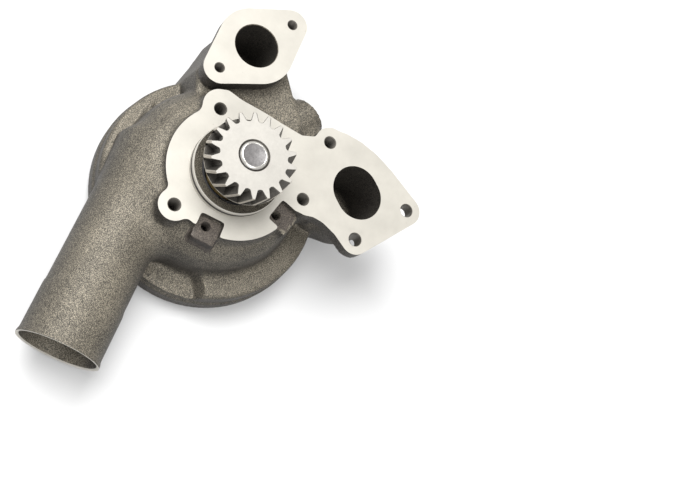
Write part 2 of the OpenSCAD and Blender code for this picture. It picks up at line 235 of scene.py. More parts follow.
def arc_duct(x, y, z, half, to_deg):
    """A duct of rounded box section, half its width and height given, along an arc round the shaft axis."""
    turn = np.degrees(np.arctan2(y, x)) % 360
    on_arc = np.abs(np.hypot(x, y) - DUCT_R)
    ends = [np.hypot(x - polar(DUCT_R, a)[0], y - polar(DUCT_R, a)[1]) for a in (DUCT_FROM, to_deg)]
    away = np.where((turn > DUCT_FROM) & (turn < to_deg), on_arc, np.minimum(*ends))
    qx, qz = away - half[0] + DUCT_CORNER, np.abs(z - DUCT_Z) - half[1] + DUCT_CORNER
    return np.hypot(np.maximum(qx, 0), np.maximum(qz, 0)) + np.minimum(np.maximum(qx, qz), 0) - DUCT_CORNER


def volute_ring(x, y, z):
    """Flat front band, pocket beside the pipe, step to the wider rear part, and rear lip with its stock."""
    ring_r = np.hypot(x, y - RING_Y)
    d = slab(ring_r - RING_BAND_R, z, -70.0, -46.0, 4.0)
    pocket = slab(polygon_2d(x, y, POCKET) - POCKET_DRAFT * (z - POCKET_FLOOR), z, POCKET_FLOOR, -20.0, 1.0)
    d = smooth_max(d, -pocket, 1.5)
    d = smooth_min(d, slab(ring_r - RING_R, z, -DEPTH + 2.5, -61.5, 1.6), 0.8)
    return smooth_min(d, slab(ring_r - REAR_FACE_R - 1.5, z, -DEPTH - 1.5, -64.0, 1.5), 3.0)


def add_dome_and_pipe(d, x, y, z):
    """Dome and pipe run into each other, with a wider fillet to the ring on the pipe's far side."""
    across = np.hypot(x - DOME_AT[0], y - DOME_AT[1]) + 0 * z
    dome = polygon_2d(across, z + 0 * x, DOME_PROFILE) - DOME_SKIN
    top = smooth_min(dome, pipe_tube(x, y, z, PIPE_R, 0.0), 16.0)
    ledge = slab(link_2d(x, y, (-36, -70), 1.0, (-4, -74), 2.4), z, -50.0, -43.2, 1.2)
    fillet = 1.2 + 8.5 * np.clip((y + 30) / 40, 0, 1)
    fillet = fillet + 8.0 * np.exp(-((x - 104) ** 2 + (y + 18) ** 2) / 200)
    d = smooth_min(smooth_min(d, ledge, 1.5), top, fillet)
    d = smooth_min(d, pipe_tube(x, y, z, PIPE_R + PIPE_STEP, PIPE_STEP_X, 0.4), 1.5)
    return smooth_min(d, pipe_tube(x, y, z, PIPE_BEAD_R, PIPE_END - 3.0, 1.2), 1.6)


def port_block(x, y, z):
    """The curved duct behind the two ports, the ports' necks, and the bridge to the dome."""
    duct = arc_duct(x, y, z, DUCT_HALF, DUCT_TO)
    neck = slab(circle_2d(x, y, UPPER_PORT, 25.0), z, BLOCK_BACK, -6.0, 4.0)
    bridge = slab(polygon_2d(x, y, BRIDGE) + 0.12 * (z + 14.0), z, BLOCK_BACK, -15.0, 2.5)
    port_neck = slab(oval_outline(x, y, 7.0), z, BLOCK_BACK, -4.0, 15.0)
    return smooth_min(smooth_min(duct, port_neck, 8.0), smooth_min(bridge, neck, 5.0), 1.6)


def boss(x, y, z):
    ux, uy = polar(1.0, BOSS_ANGLE)
    along = x * ux + y * uy
    across = np.hypot(x * -uy + y * ux, z - BOSS_Z)
    return slab(across - BOSS_R, along + 0 * z, 60.0, BOSS_REACH, 1.2)


def add_flanges(d, x, y, z):
    """Flange plates with the stock that the mill takes off, and what holds them up."""
    main = main_outline(x, y)
    d = smooth_min(d, np.maximum(slab(main + 4.0, z, -34.0, -8.0, 2.0), y - 72.0), 7.0)
    web = slab(link_2d(x, y, (-40, 128), 3.0, (-36, 100), 14.0), z, -26.0, -6.0, 2.0)
    web = np.minimum(web, slab(link_2d(x, y, (-4, 102), 3.0, (-26, 92), 14.0), z, -26.0, -6.0, 2.0))
    d = smooth_min(d, web, 8.0)
    d = smooth_min(d, slab(main, z, -FLANGE_T, MILL_STOCK, 0.8), 3.5)
    d = smooth_min(d, slab(upper_outline(x, y), z, -FLANGE_T, MILL_STOCK, 0.8), 5.0)
    for hole in upper_holes():
        d = smooth_min(d, slab(circle_2d(x, y, hole, 9.5), z, -20.0, -6.0, 2.5), 4.0)
    rib = slab(link_2d(x, y, (-128, -9), 6.0, (-100, -12), 14.0), z, -40.0, -8.0, 4.0)
    return smooth_min(d, rib, 5.0)


def rear_breaks(d, x, y, z):
    """Four cast breaks in the rear lip."""
    for k in range(4):
        a = math.radians(45 + 90 * k)
        u = x * math.cos(a) + y * math.sin(a)
        v = -x * math.sin(a) + y * math.cos(a)
        patch = np.maximum(np.abs(v) - 8.2, np.abs(u - RECESS_R - 9) - 14)
        d = smooth_max(d, -slab(patch, z, -DEPTH - 9, -DEPTH + 1.3, 0.3), 0.8)
    return d


def cast_field(x, y, z):
    """The casting before machining, with its cored hollows. x and y are flat grids, z a column of heights."""
    d = add_dome_and_pipe(volute_ring(x, y, z), x, y, z)
    d = smooth_min(d, port_block(x, y, z), 2.0)
    d = smooth_min(d, boss(x, y, z), 3.0)
    d = add_flanges(d, x, y, z)

    # Recessed pads
    for pad in PADS:
        outline = pad_outline(x, y, pad)
        d = smooth_min(d, slab(outline, z, -24.0, -PAD_DEPTH, 0.8), 2.0)
        d = smooth_max(d, -slab(outline - 0.4, z, -PAD_DEPTH, 20.0, 0.2), 0.8)

    # Blanks of the spigot and of the machined rear tab
    d = np.minimum(d, slab(np.hypot(x, y) - SPIGOT_R, z, -4.0, SPIGOT_H + MILL_STOCK))
    tab = np.maximum(np.abs(x - TAB_AT[0]) - TAB_HALF[0], np.abs(y - TAB_AT[1]) - TAB_HALF[1])
    d = smooth_min(d, slab(tab, z, -DEPTH - 1.5, -55.0, 1.2), 2.5)
    d = rear_breaks(d, x, y, z)

    # Cored duct and ports
    hollow = arc_duct(x, y, z, DUCT_CORE_HALF, DUCT_CORE_TO)
    hollow = smooth_min(hollow, slab(oval_outline(x, y), z, -60.0, 9.0, 6.0), 6.0)
    hollow = smooth_min(hollow, slab(circle_2d(x, y, UPPER_PORT, UPPER_PORT_R), z, -58.0, 9.0, 6.0), 6.0)
    return smooth_max(d, -hollow, 1.0).astype(np.float32)


# ---------------------------------------------------------------- meshing
def field_mesh(field, low, high, pitch):
    """A closed mesh of a field's zero. Where the net touches itself, cells are filled and it is made again."""
    axes = [np.arange(low[i], high[i] + pitch, pitch, dtype=np.float32) for i in range(3)]
    x, y, z = np.meshgrid(*axes, indexing="ij", sparse=True)
    x, y = np.broadcast_arrays(x, y)
    f = field(x, y, z)
    for axis in range(3):
        ends = np.moveaxis(f, axis, 0)
        ends[0], ends[-1] = np.maximum(ends[0], pitch), np.maximum(ends[-1], pitch)
    for _ in range(8):
        cells, verts, quads = surface_net(f)
        pairs = np.sort(np.stack([quads, np.roll(quads, -1, 1)], 2).reshape(-1, 2), 1)
        edges, uses = np.unique(pairs, axis=0, return_counts=True)
        bad = cells[np.unique(edges[uses != 2])]
        if not len(bad):
            break
        for corner in np.ndindex(2, 2, 2):
            at = tuple((bad + corner).T)
            f[at] = np.minimum(f[at], -0.2 * pitch)
    return np.array(low) + settle(verts, f) * pitch, quads


def surface_net(f):
    """One vertex in each cell that the surface crosses, and one face across each crossed grid edge."""
    sums = np.zeros(tuple(n - 1 for n in f.shape) + (3,), np.float32)
    count = np.zeros(sums.shape[:3], np.float32)
    index = np.full(sums.shape[:3], -1, np.int64)
    crossings = []
    for axis in range(3):
        a, b = np.moveaxis(f, axis, 0)[:-1], np.moveaxis(f, axis, 0)[1:]
        crossed = (a < 0) != (b < 0)
        t = np.where(crossed, a / np.where(crossed, a - b, 1), 0)
        crossed, t = np.moveaxis(crossed, 0, axis), np.moveaxis(t, 0, axis)
        others = [i for i in range(3) if i != axis]
        for du in (0, 1):
            for dv in (0, 1):
                cut = [slice(None)] * 3
                for o, shift in zip(others, (du, dv)):
                    cut[o] = slice(1, None) if shift else slice(None, -1)
                m, tt = crossed[tuple(cut)], t[tuple(cut)]
                count += m
                sums[..., axis] += np.where(m, tt, 0)
                for o, shift in zip(others, (du, dv)):
                    sums[..., o] += m * shift
        crossings.append((axis, others, crossed))
    live = count > 0
    index[live] = np.arange(live.sum())
    cells = np.argwhere(live)
    verts = cells + sums[live] / count[live][:, None]
    quads = []
    for axis, others, crossed in crossings:
        at = np.argwhere(crossed)
        inner = np.ones(len(at), bool)
        for o in others:
            inner &= (at[:, o] > 0) & (at[:, o] < f.shape[o] - 1)
        at = at[inner]
        corners = []
        for du, dv in ((1, 1), (0, 1), (0, 0), (1, 0)):
            c = at.copy()
            c[:, others[0]] -= du
            c[:, others[1]] -= dv
            corners.append(index[tuple(c.T)])
        q = np.stack(corners, 1)
        flip = f[tuple(at.T)] >= 0
        if axis == 1:
            flip = ~flip
        q[flip] = q[flip][:, ::-1]
        quads.append(q)
    return cells, verts, np.concatenate(quads)


def sample(f, p):
    """Value and slope of a grid field at fractional positions."""
    base = np.clip(np.floor(p).astype(int), 0, np.array(f.shape) - 2)
    t = p - base
    value = np.zeros(len(p))
    slope = np.zeros((len(p), 3))
    for corner in np.ndindex(2, 2, 2):
        v = f[tuple((base + corner).T)]
        w = [t[:, i] if corner[i] else 1 - t[:, i] for i in range(3)]
        value += v * w[0] * w[1] * w[2]
        for i in range(3):
            j, k = [m for m in range(3) if m != i]
            slope[:, i] += v * (1 if corner[i] else -1) * w[j] * w[k]
    return value, slope


def settle(p, f, rounds=3, reach=0.6):
    """Moves vertices along the field's slope on to the surface, each by no more than part of a cell."""
    start = p.copy()
    for _ in range(rounds):
        value, slope = sample(f, p)
        step = -value / np.maximum((slope ** 2).sum(1), 0.05)
        p = p + np.clip(step[:, None] * slope, -0.4, 0.4)
        p = start + np.clip(p - start, -reach, reach)
    return p


def new_object(name, verts, faces):
    mesh = bpy.data.meshes.new(name)
    mesh.from_pydata(np.asarray(verts).tolist(), [], [list(map(int, f)) for f in faces])
    mesh.update()
    obj = bpy.data.objects.new(name, mesh)
    bpy.context.scene.collection.objects.link(obj)
    return obj


def lathe(name, profile, steps=128, axis="Z", at=(0, 0, 0)):
    """Closed solid of revolution in metres from a closed (radius, height) outline in millimetres."""
    pts = []
    for i in range(steps):
        c, s = polar(1.0, 360 * i / steps)
        for r, h in profile:
            p = (r * c, r * s, h) if axis == "Z" else (h, r * c, r * s)
            pts.append([(p[j] + at[j]) * MM for j in range(3)])
    n = len(profile)
    faces = []
    for i in range(steps):
        for j in range(n):
            a, b = i * n + j, i * n + (j + 1) % n
            c, d = ((i + 1) % steps) * n + (j + 1) % n, ((i + 1) % steps) * n + j
            faces.append((a, d, c, b))
    obj = new_object(name, pts, faces)
    tidy_mesh(obj)
    return obj


def tidy_mesh(obj, weld=1e-6):
    """Welds the poles of a lathe and points every face outwards."""
    bm = bmesh.new()
    bm.from_mesh(obj.data)
    bmesh.ops.remove_doubles(bm, verts=bm.verts, dist=weld)
    bmesh.ops.dissolve_degenerate(bm, edges=bm.edges, dist=weld)
    bmesh.ops.delete(bm, geom=[e for e in bm.edges if not e.link_faces], context="EDGES")
    bmesh.ops.recalc_face_normals(bm, faces=bm.faces)
    bm.to_mesh(obj.data)
    bm.free()


def joined(name, objects):
    bpy.ops.object.select_all(action="DESELECT")
    for o in objects:
        o.select_set(True)
    bpy.context.view_layer.objects.active = objects[0]
    bpy.ops.object.join()
    objects[0].name = name
    return objects[0]


def cut(obj, cutter):
    """Takes a closed cutter out of a closed mesh."""
    before = len(obj.data.polygons)
    for solver in ("MANIFOLD", "EXACT"):
        mod = obj.modifiers.new("cut", "BOOLEAN")
        mod.operation, mod.solver, mod.object = "DIFFERENCE", solver, cutter
        bpy.context.view_layer.update()
        result = bpy.data.meshes.new_from_object(obj.evaluated_get(bpy.context.evaluated_depsgraph_get()))
        obj.modifiers.remove(mod)
        if len(result.polygons) != before:
            obj.data = result
            break
        print("a", solver, "cut changed nothing")
    bpy.data.objects.remove(cutter)


# ---------------------------------------------------------------- materials
class Shader:
    """A principled material and short ways to add nodes to it."""

    def __init__(self, name, metallic=0.0, roughness=0.5):
        self.mat = bpy.data.materials.new(name)
        self.mat.use_nodes = True
        self.tree = self.mat.node_tree
        self.bsdf = self.tree.nodes["Principled BSDF"]
        self.bsdf.inputs["Metallic"].default_value = metallic
        self.bsdf.inputs["Roughness"].default_value = roughness
        place = self.tree.nodes.new("ShaderNodeTexCoord")
        self.coords, self.facing = place.outputs["Object"], place.outputs["Normal"]

    def node(self, kind, out=0, props=None, **inputs):
        n = self.tree.nodes.new(kind)
        for key, value in (props or {}).items():
            setattr(n, key, value)
        for key, value in inputs.items():
            socket = n.inputs[int(key[1:])] if key[0] == "i" and key[1:].isdigit() else n.inputs[key]
            self.put(socket, value)
        return n.outputs[out]

    def put(self, socket, value):
        if isinstance(value, bpy.types.NodeSocket):
            self.tree.links.new(value, socket)
        else:
            socket.default_value = value

    def math(self, op, a, b=0.0):
        return self.node("ShaderNodeMath", props={"operation": op}, i0=a, i1=b)

    def scaled(self, by):
        return self.node("ShaderNodeVectorMath", props={"operation": "MULTIPLY"}, i0=self.coords, i1=by)

    def noise(self, scale, detail=3.0, rough=0.55, vector=None):
        return self.node("ShaderNodeTexNoise", Vector=vector or self.coords, Scale=scale, Detail=detail,
                         Roughness=rough)

    def cells(self, scale):
        return self.node("ShaderNodeTexVoronoi", Vector=self.coords, Scale=scale)

    def ramp(self, fac, *stops):
        n = self.tree.nodes.new("ShaderNodeValToRGB")
        self.put(n.inputs[0], fac)
        ramp = n.color_ramp
        while len(ramp.elements) < len(stops):
            ramp.elements.new(0.5)
        for e, (at, colour) in zip(ramp.elements, stops):
            e.position = at
            e.color = (*colour, 1) if len(colour) == 3 else colour
        return n.outputs[0]

    def grey(self, fac, low, high, a=0.0, b=1.0):
        return self.node("ShaderNodeMapRange", Value=fac, **{"From Min": low, "From Max": high, "To Min": a,
                                                            "To Max": b})

    def mix(self, fac, a, b, blend="MIX"):
        n = self.tree.nodes.new("ShaderNodeMix")
        n.data_type, n.blend_type = "RGBA", blend
        self.put(n.inputs[0], fac)
        self.put(n.inputs[6], a)
        self.put(n.inputs[7], b)
        return n.outputs[2]

    def rings(self, scale):
        """Turning marks: noise that changes with the distance from the shaft axis alone."""
        radius = self.node("ShaderNodeVectorMath", 1, {"operation": "LENGTH"}, i0=self.scaled((1, 1, 0)))
        return self.noise(scale, 4.0, 0.7, self.node("ShaderNodeCombineXYZ", X=radius))

    def bump(self, height, strength, distance, normal=None):
        n = self.tree.nodes.new("ShaderNodeBump")
        n.inputs["Strength"].default_value = strength
        n.inputs["Distance"].default_value = distance
        self.put(n.inputs["Height"], height)
        if normal is not None:
            self.put(n.inputs["Normal"], normal)
        return n.outputs[0]

    def finish(self, colour, rough=None, normal=None):
        self.put(self.bsdf.inputs["Base Color"], colour)
        if rough is not None:
            self.put(self.bsdf.inputs["Roughness"], rough)
        if normal is not None:
            self.put(self.bsdf.inputs["Normal"], normal)
        return self.mat


def cast_material(name, dark, mid, light, metallic=0.35):
    """Sand-cast skin: fine grain, a little cloud and no gloss, with painted shade that makes it darker where it
    faces away from the front (+z).
    """
    s = Shader(name, metallic)
    grain, fine = s.noise(1500, 2, 0.6), s.noise(3000, 1, 0.5)
    cloud = s.noise(38, 3)
    tone = s.math("ADD", s.math("MULTIPLY", grain, 0.66), s.math("MULTIPLY", fine, 0.34))
    tone = s.math("ADD", tone, s.math("MULTIPLY", s.math("SUBTRACT", cloud, 0.5), 0.12))
    tone = s.math("ADD", tone, s.math("MULTIPLY", s.math("SUBTRACT", s.noise(330, 3, 0.6), 0.5), 0.12))
    colour = s.ramp(tone, (0.37, dark), (0.5, mid), (0.63, light))
    # Painted shade and light: the colour is multiplied by a ramp on which way the surface faces. It drops to
    # about a third on faces that point sideways or down, and goes a little over full tone on faces that point
    # up.
    front = s.node("ShaderNodeSeparateXYZ", 2, i0=s.facing)
    shade = s.ramp(front, (0.0, (0.36, 0.36, 0.38)), (0.4, (0.6, 0.6, 0.6)), (0.85, (1.05, 1.04, 1.0)))
    colour = s.mix(1.0, colour, shade, "MULTIPLY")
    rough = s.grey(grain, 0.35, 0.65, 0.66, 0.54)
    normal = s.bump(grain, 0.6, 0.00022)
    normal = s.bump(fine, 0.5, 0.00008, normal)
    return s.finish(colour, rough, normal)


def milled_material(name, tone, metallic=0.4, pocks=0.5, turned=False):
    """Machined iron: cutter streaks along x, or turning marks, with faint clouds and small pits."""
    s = Shader(name, metallic)
    scratches = s.rings(2600) if turned else s.noise(260, 5, 0.7, s.scaled((1, 14, 1)))
    cloud, spots = s.noise(28, 5, 0.6), s.cells(150)
    dark = tuple(c * 0.86 for c in tone)
    colour = s.mix(s.grey(cloud, 0.35, 0.65), (*dark, 1), (*tone, 1))
    colour = s.mix(s.math("MULTIPLY", s.grey(scratches, 0.55, 0.75), 0.16), colour, (0.25, 0.23, 0.2, 1))
    pits = s.math("MULTIPLY", s.grey(spots, 0.11, 0.03), s.math("MULTIPLY", s.grey(cloud, 0.5, 0.6), pocks))
    colour = s.mix(pits, colour, (0.22, 0.19, 0.15, 1))
    rough = s.grey(s.noise(120, 4), 0.3, 0.7, 0.36, 0.5)
    return s.finish(colour, rough, s.bump(scratches, 0.18, 0.00006))


def metal_material(name, tone, metallic=0.9, rough=(0.25, 0.4), grain=900.0, depth=0.00004, shade=0.72):
    """A smooth surface whose tone, gloss and fine bump vary a little."""
    s = Shader(name, metallic)
    fine, cloud = s.noise(grain, 4, 0.65), s.noise(40, 4)
    dark = tuple(c * shade for c in tone)
    both = s.math("ADD", s.math("MULTIPLY", fine, 0.5), s.math("MULTIPLY", cloud, 0.5))
    colour = s.mix(s.grey(both, 0.35, 0.65), (*dark, 1), (*tone, 1))
    return s.finish(colour, s.grey(cloud, 0.3, 0.7, *rough), s.bump(fine, 0.35, depth))


MATERIALS = {
    "cast": cast_material("cast_iron", (0.019, 0.017, 0.014), (0.086, 0.077, 0.062), (0.27, 0.24, 0.19)),
    "pad": cast_material("pad_skin", (0.02, 0.016, 0.013), (0.05, 0.041, 0.034), (0.12, 0.1, 0.083), 0.25),
    "milled": milled_material("milled_iron", (0.425, 0.405, 0.36), 0.25),
    "bored": milled_material("bored_iron", (0.13, 0.12, 0.104), 0.5, pocks=0.3, turned=True),
    "gear": metal_material("gear_steel", (0.1, 0.092, 0.08), 0.6, (0.35, 0.5), 700, shade=0.5),
    "gear_face": metal_material("gear_face", (0.39, 0.373, 0.34), 0.25, (0.34, 0.46), 500, shade=0.86),
    "gear_tip": metal_material("gear_tip", (0.36, 0.33, 0.28), 0.4, (0.3, 0.45), 500, shade=0.75),
    "shaft": metal_material("shaft_steel", (0.235, 0.225, 0.222), 0.5, (0.45, 0.6), 560, 0.00022, 0.4),
    "shaft_edge": metal_material("shaft_edge", (0.6, 0.58, 0.54), 0.7, (0.2, 0.3), 560, 0.00003, 0.85),
    "cover": metal_material("cover_steel", (0.1, 0.105, 0.103), 0.35, (0.38, 0.5), 350, 0.00002, 0.86),
    "cover_rim": cast_material("cover_rim", (0.03, 0.03, 0.03), (0.07, 0.072, 0.07), (0.14, 0.14,
                               0.135), 0.4),
}


def paint_nodes():
    """Real finishes for every node of the part that is shown as it is."""
    looks = {
        "rubber_black": metal_material("rubber", (0.03, 0.028, 0.027), 0.0, (0.5, 0.65), 700, 0.00005),
        "bearing_steel": metal_material("bearing_steel", (0.66, 0.67, 0.69), 1.0, (0.12, 0.22), 1200, 0.00001,
                                        0.88),
        "cage_brass": metal_material("cage_brass", (0.68, 0.5, 0.22), 1.0, (0.28, 0.4), 800, 0.00003),
        "spring_steel": metal_material("spring_steel", (0.2, 0.2, 0.21), 0.9, (0.3, 0.45), 900, 0.00002),
        "seal_case_steel": metal_material("seal_case", (0.5, 0.5, 0.5), 0.95, (0.25, 0.38), 900, 0.00002),
        "seal_carbon": metal_material("carbon", (0.04, 0.04, 0.043), 0.1, (0.4, 0.55), 1500, 0.00002),
        "seal_ceramic": metal_material("ceramic", (0.82, 0.8, 0.75), 0.0, (0.18, 0.28), 900, 0.00001, 0.93),
        "impeller_iron": cast_material("impeller_iron", (0.06, 0.055, 0.05), (0.15, 0.14, 0.12),
                                       (0.3, 0.28, 0.24)),
        "shaft_steel": MATERIALS["shaft"],
        "gear_steel": MATERIALS["gear"],
        "cast_iron_body": MATERIALS["cast"],
        "cover_steel": MATERIALS["cover"],
    }
    for part in frame["record"]["subparts"]:
        mesh = frame["nodes"][part["node"]].data
        mesh.materials.clear()
        mesh.materials.append(looks[part["material_slot"]])


# ---------------------------------------------------------------- the casting and its machining
def hole_profile(r, low, high, chamfer, thread=0.0):
    """A drilled hole with a drill point, a chamfered mouth at height high and, if tapped, thread grooves."""
    top = high + 4
    out = [(0, top), (r + chamfer, top), (r + chamfer, high), (r, high - chamfer)]
    if thread:
        pitch, h = thread, high - chamfer - 0.4
        while h - pitch > low + 3:
            out += [(r, h), (r + 0.42 * pitch, h - pitch * 0.45), (r, h - pitch * 0.9)]
            h -= pitch
    return out + [(r, low), (0, low - r * 0.55)]


def hole_cutters():
    tools = []
    for p in TAPPED_HOLES:
        profile = hole_profile(TAPPED_R, TAPPED_FLOOR, 0, 0.8, TAPPED_PITCH)
        tools.append(lathe("tool", profile, 40, at=(*p, 0)))
    for p in THROUGH_HOLES:
        tools.append(lathe("tool", hole_profile(THROUGH_R, THROUGH_FLOOR, 0, 0.4), 48, at=(*p, 0)))
    for p in upper_holes():
        tools.append(lathe("tool", hole_profile(SMALL_R, UPPER_FLOOR, 0, 0.7, SMALL_PITCH), 40, at=(*p, 0)))
    for pad in PADS:
        profile = hole_profile(SMALL_R, PAD_HOLE_FLOOR, -PAD_DEPTH, 0.4, SMALL_PITCH)
        tools.append(lathe("tool", profile, 40, at=(*pad[2], 0)))
    return joined("tool", tools)


def box_tool(centre, half_x, half_y, low, high, turn):
    """An upright block with rounded corners."""
    corner, steps = 1.2, 5
    loop = []
    c, s = math.cos(math.radians(turn)), math.sin(math.radians(turn))
    for k, (sx, sy) in enumerate(((1, 1), (-1, 1), (-1, -1), (1, -1))):
        for i in range(steps + 1):
            u, v = polar(corner, 90 * k + 90 * i / steps)
            u, v = u + sx * (half_x - corner), v + sy * (half_y - corner)
            loop.append((centre[0] + u * c - v * s, centre[1] + u * s + v * c))
    n = len(loop)
    verts = [(x * MM, y * MM, h * MM) for h in (low, high) for x, y in loop]
    faces = [list(range(n))[::-1], list(range(n, 2 * n))]
    faces += [(i, (i + 1) % n, n + (i + 1) % n, n + i) for i in range(n)]
    obj = new_object("tool", verts, faces)
    tidy_mesh(obj)
    return obj


def build_casting():
    verts, quads = field_mesh(cast_field, GRID_LOW, GRID_HIGH, GRID_PITCH)
    body = new_object("pump_casting", verts * MM, quads)
    steps = 192

    # Front face around the spigot, then the spigot's stepped bowl and bore, its groove and its outer edge
    cut(body, lathe("tool", [(SPIGOT_R, 0), (230, 0), (230, 30), (SPIGOT_R, 30)], steps))
    bowl = [(0, 20), (36, 20), (36, SPIGOT_H), (32.9, SPIGOT_H), (32.2, 8.4), (26.8, 5.4), (26, 5.0), (26, 1.5),
            (27.4, 1.5), (27.4, 0), (26, 0), (26, -36), (18, -36), (18, -44), (16, -44), (16, -51), (0, -51)]
    cut(body, lathe("tool", bowl, steps))
    groove = lathe("tool", [(31.7, 2.8), (36, 2.8), (36, 6), (31.7, 6)], steps)
    edge = lathe("tool", [(33.1, SPIGOT_H), (33.7, 8.4), (36, 8.4), (36, 12), (33.1, 12)], steps)
    cut(body, joined("tool", [groove, edge]))

    # Rear face, the plug's recess and the impeller's chamber
    rear = [(0, -95), (150, -95), (150, -DEPTH), (67.9, -DEPTH), (RECESS_R, -79.6), (RECESS_R, RECESS_FRONT),
            (CHAMBER_R, RECESS_FRONT), (CHAMBER_R, CHAMBER_FRONT), (0, CHAMBER_FRONT)]
    cut(body, lathe("tool", rear, steps))

    # Hose pipe: its end and its bore, which flares at the mouth
    pipe = [(0, 175), (45, 175), (45, PIPE_END), (29.6, PIPE_END), (28.6, PIPE_END - 0.8), (27.4, PIPE_END - 5),
            (PIPE_BORE_R, PIPE_END - 14), (PIPE_BORE_R, 44), (20, 38), (0, 38)]
    cut(body, lathe("tool", pipe, 128, "X", (0, PIPE_Y, PIPE_Z)))

    # Recessed pads, the round port and all holes
    half = PAD_SIZE / 2
    pockets = [box_tool(centre, half, half, -PAD_DEPTH, 6, turn) for centre, turn, _ in PADS]
    port = [(0, 6), (17.3, 6), (17.3, 0), (UPPER_PORT_R, -0.5), (UPPER_PORT_R, -24), (0, -24)]
    pockets.append(lathe("tool", port, 96, at=(*UPPER_PORT, 0)))
    cut(body, joined("tool", pockets))
    cut(body, hole_cutters())
    keep_inside(body)
    classify(body)
    return body


def keep_inside(obj):
    """Holds every vertex within the part's own box."""
    box_low, box_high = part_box("pump_body")
    co = np.empty(len(obj.data.vertices) * 3, np.float32)
    obj.data.vertices.foreach_get("co", co)
    co = np.clip(co.reshape(-1, 3), np.array(box_low, np.float32), np.array(box_high, np.float32))
    obj.data.vertices.foreach_set("co", co.ravel())
    obj.data.update()


def classify(obj):
    """Gives milled faces, bored walls, the pads and the cast skin their own materials."""
    mesh = obj.data
    n = len(mesh.polygons)
    centre, normal = np.empty(n * 3, np.float32), np.empty(n * 3, np.float32)
    mesh.polygons.foreach_get("center", centre)
    mesh.polygons.foreach_get("normal", normal)
    x, y, z = (centre.reshape(-1, 3) / MM).T
    nx, _, nz = normal.reshape(-1, 3).T
    r = np.hypot(x, y)

    def near(value, at, tol=0.06):
        return np.abs(value - at) < tol

    milled = (near(z, 0) & (nz > 0.99)) | (near(z, SPIGOT_H) & (nz > 0.9)) | (near(z, -DEPTH) & (nz < -0.99))
    milled |= (x > PIPE_END - 0.9) & (nx > 0.5)
    milled |= (r > 33.0) & (r < 34.0) & (z > -0.2) & (nz > -0.5)
    bored = (r < 26.5) & (z < 2.2) & (z > -52)
    bored |= (r > 31) & (r < 33.2) & (z > 2) & (z < 6.4)
    bored |= near(r, RECESS_R, 0.5) & (z < RECESS_FRONT + 0.5)
    bored |= near(z, RECESS_FRONT) & (r < RECESS_R + 1)
    for holes, reach in ((TAPPED_HOLES, 5.3), (THROUGH_HOLES, 5.6), (upper_holes(), 4.4)):
        for hx, hy in holes:
            bored |= (np.hypot(x - hx, y - hy) < reach) & (z < -0.01)
    kind = np.full(n, CAST, np.int32)
    for pad, floor in zip(PADS, (-22.0, -PAD_DEPTH - 0.3)):
        kind[(pad_outline(x, y, pad) < 2.0) & (z > floor) & (z < -PAD_DEPTH + 0.6)] = PAD
    kind[milled] = MILLED
    kind[bored] = BORED
    mesh.materials.clear()
    for name in ("cast", "milled", "bored", "pad"):
        mesh.materials.append(MATERIALS[name])
    mesh.polygons.foreach_set("material_index", kind)
    mesh.polygons.foreach_set("use_smooth", np.ones(n, bool))
    mesh.set_sharp_from_angle(angle=math.radians(32))
    mesh.update()


# ---------------------------------------------------------------- gear, shaft and cover
def tooth_outline(shift=0.0):
    """One closed outline of all teeth; shift moves it inwards along its own normals."""
    def half(r):
        """Half a tooth's width at radius r, in degrees; the numbers are for 18 teeth."""
        return (6.9 - 4.8 * ((r - ROOT_R) / (TIP_R - ROOT_R)) ** 0.9) * 18 / TEETH

    pts = []
    radii = [ROOT_R + 0.5, ROOT_R + 1.4, 27.4, 28.8, 30.2, TIP_R - 0.35]
    for i in range(TEETH):
        base = 360 * i / TEETH + TOOTH_PHASE
        step = 180 / TEETH
        left = [(ROOT_R, -step), (ROOT_R + 0.05, -(step + half(ROOT_R)) / 2)]
        rise = [(r, -half(r)) for r in radii]
        tip = [(TIP_R, -half(TIP_R) * 0.75), (TIP_R, half(TIP_R) * 0.75)]
        fall = [(r, half(r)) for r in reversed(radii)]
        right = [(ROOT_R + 0.05, (step + half(ROOT_R)) / 2)]
        pts += [polar(r, base + a) for r, a in left + rise + tip + fall + right]
    p = np.array(pts)
    if shift:
        ahead, behind = np.roll(p, -1, 0), np.roll(p, 1, 0)
        t = ahead - behind
        nrm = np.stack([t[:, 1], -t[:, 0]], 1) / np.linalg.norm(t, axis=1)[:, None]
        p = p - nrm * shift
    return p


